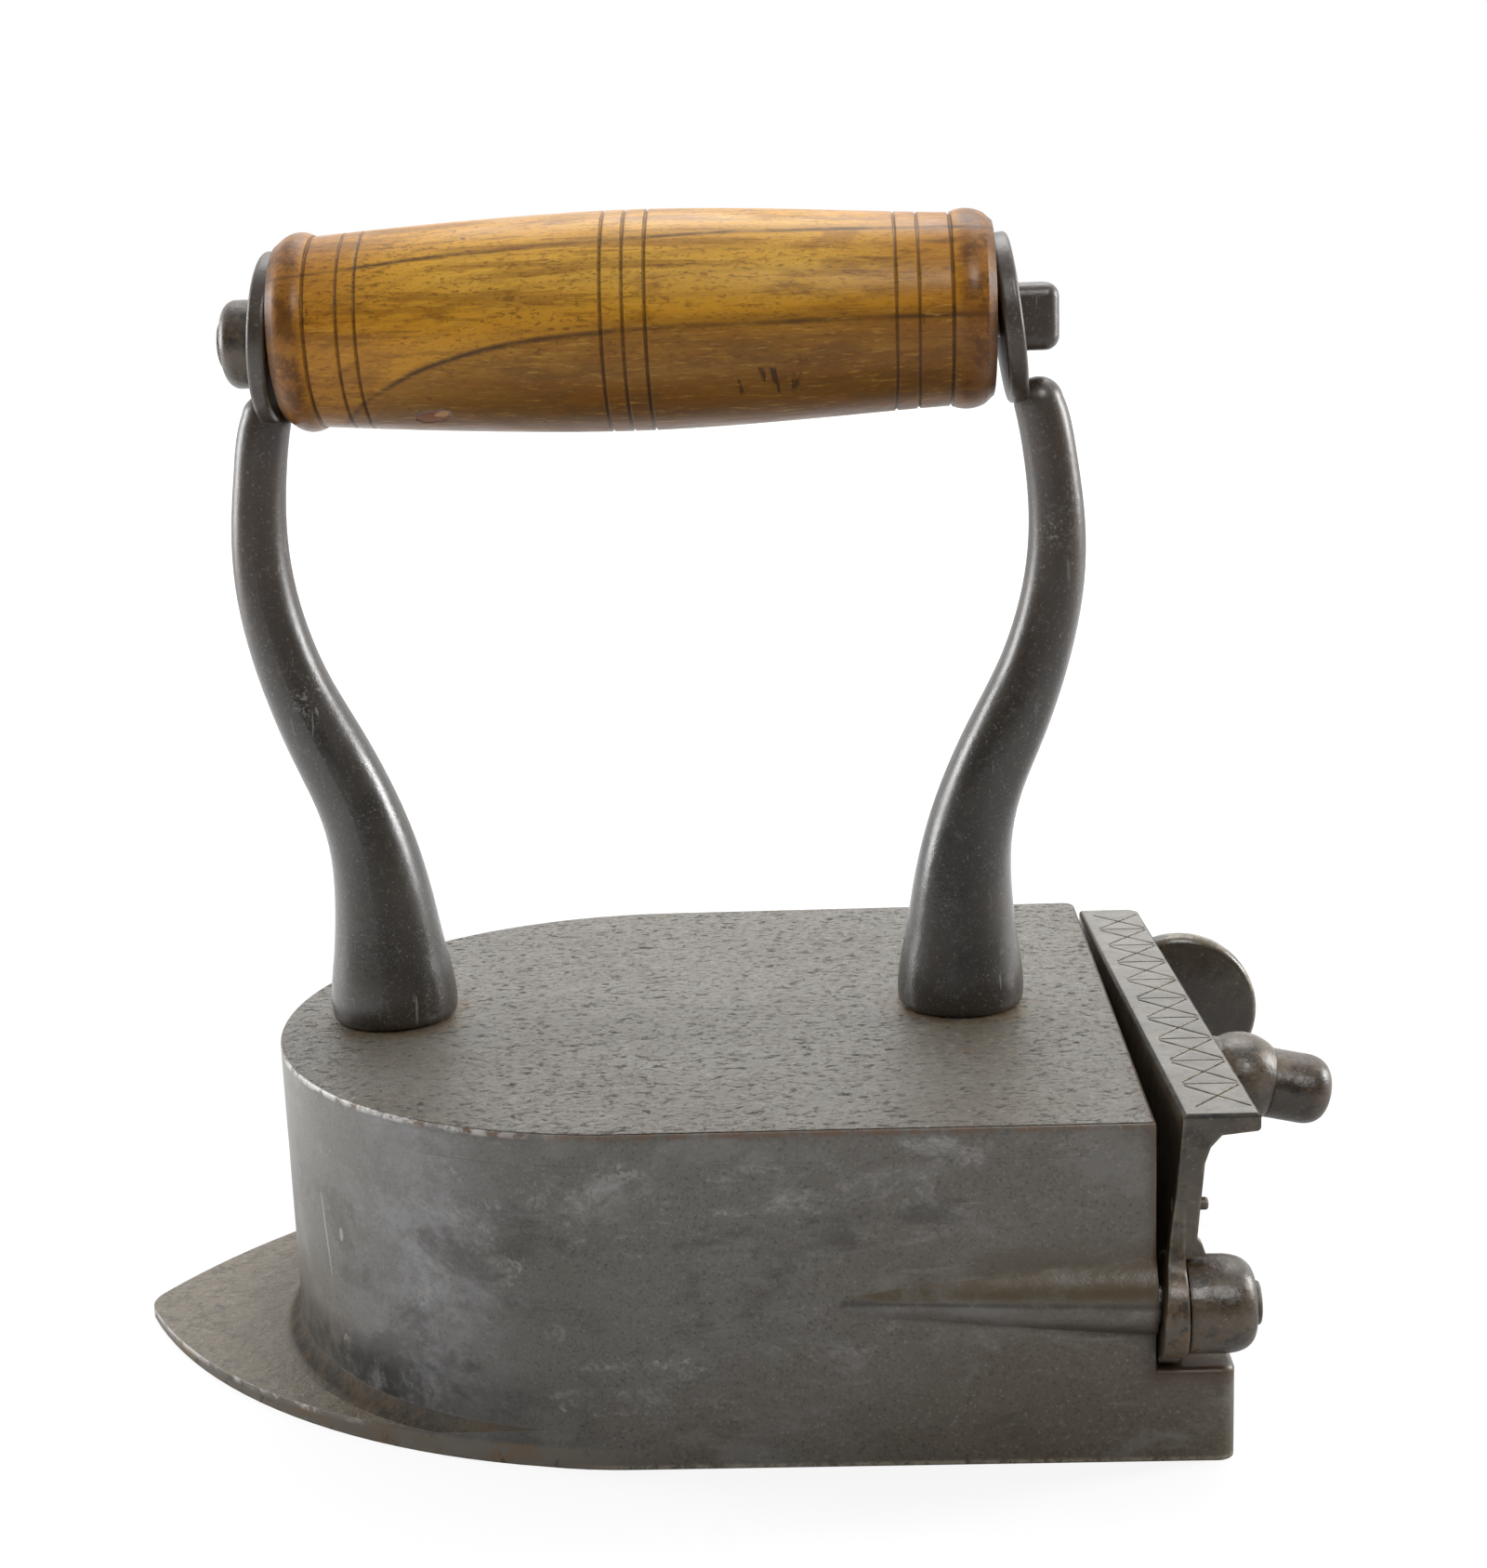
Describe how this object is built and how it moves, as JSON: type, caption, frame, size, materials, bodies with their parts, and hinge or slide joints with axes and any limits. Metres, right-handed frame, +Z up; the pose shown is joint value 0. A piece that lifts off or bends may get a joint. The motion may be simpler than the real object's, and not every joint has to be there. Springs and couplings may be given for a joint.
{
  "type": "box iron",
  "caption": "Antique box iron for pressing cloth: a hollow iron body with a pointed sole, a loose heater slug, a lifting heel gate with a latch, and a turned wooden grip.",
  "frame": {"origin": "on the underside of the sole, below the middle of the handle, on the centre line", "axes": "+X towards the heel and its gate, -X towards the pointed toe, +Y towards the far side, +Z up; the gate's pivot is on the -Y side"},
  "size_m": [0.1835, 0.1111, 0.1663],
  "materials": {
    "body": "matt cast iron with scuffs",
    "plate": "pitted cast iron",
    "posts": "satin blackened forged iron",
    "grip": "oiled and worn turned hardwood",
    "fittings": "dark filed iron",
    "gate": "filed and engraved iron",
    "slug": "fire-scaled rough iron"
  },
  "bodies": {
    "iron": {"box_body": "body", "top_plate": "plate", "top_plate_rivets": "plate", "front_post": "posts", "rear_post": "posts", "front_post_nut": "fittings", "rear_post_nut": "fittings", "handle_grip": "grip", "handle_rod": "fittings", "front_rod_cap": "fittings", "rear_rod_nut": "fittings", "gate_pivot_pin": "fittings", "gate_pivot_cap": "fittings", "latch_keeper": "fittings"},
    "gate": {"gate_plate": "gate", "gate_thumb_fin": "gate", "gate_rivet": "gate", "latch_stud": "fittings"},
    "latch": {"latch_lever": "fittings", "latch_knob": "fittings"},
    "slug": {"heater_slug": "slug"}
  },
  "joints": [
    {"name": "gate_swing", "type": "hinge", "parent": "iron", "child": "gate", "pos_m": [0.0659, -0.0513, 0.022], "axis": [1, 0, 0], "range_deg": [0, 135]},
    {"name": "latch_turn", "type": "hinge", "parent": "gate", "child": "latch", "pos_m": [0.07042, 0, 0.0379], "axis": [0.9781, 0, -0.2079], "range_deg": [0, 40]},
    {"name": "slug_slide", "type": "slide", "parent": "iron", "child": "slug", "axis": [1, 0, 0], "range_m": [0, 0.0016]}
  ]
}
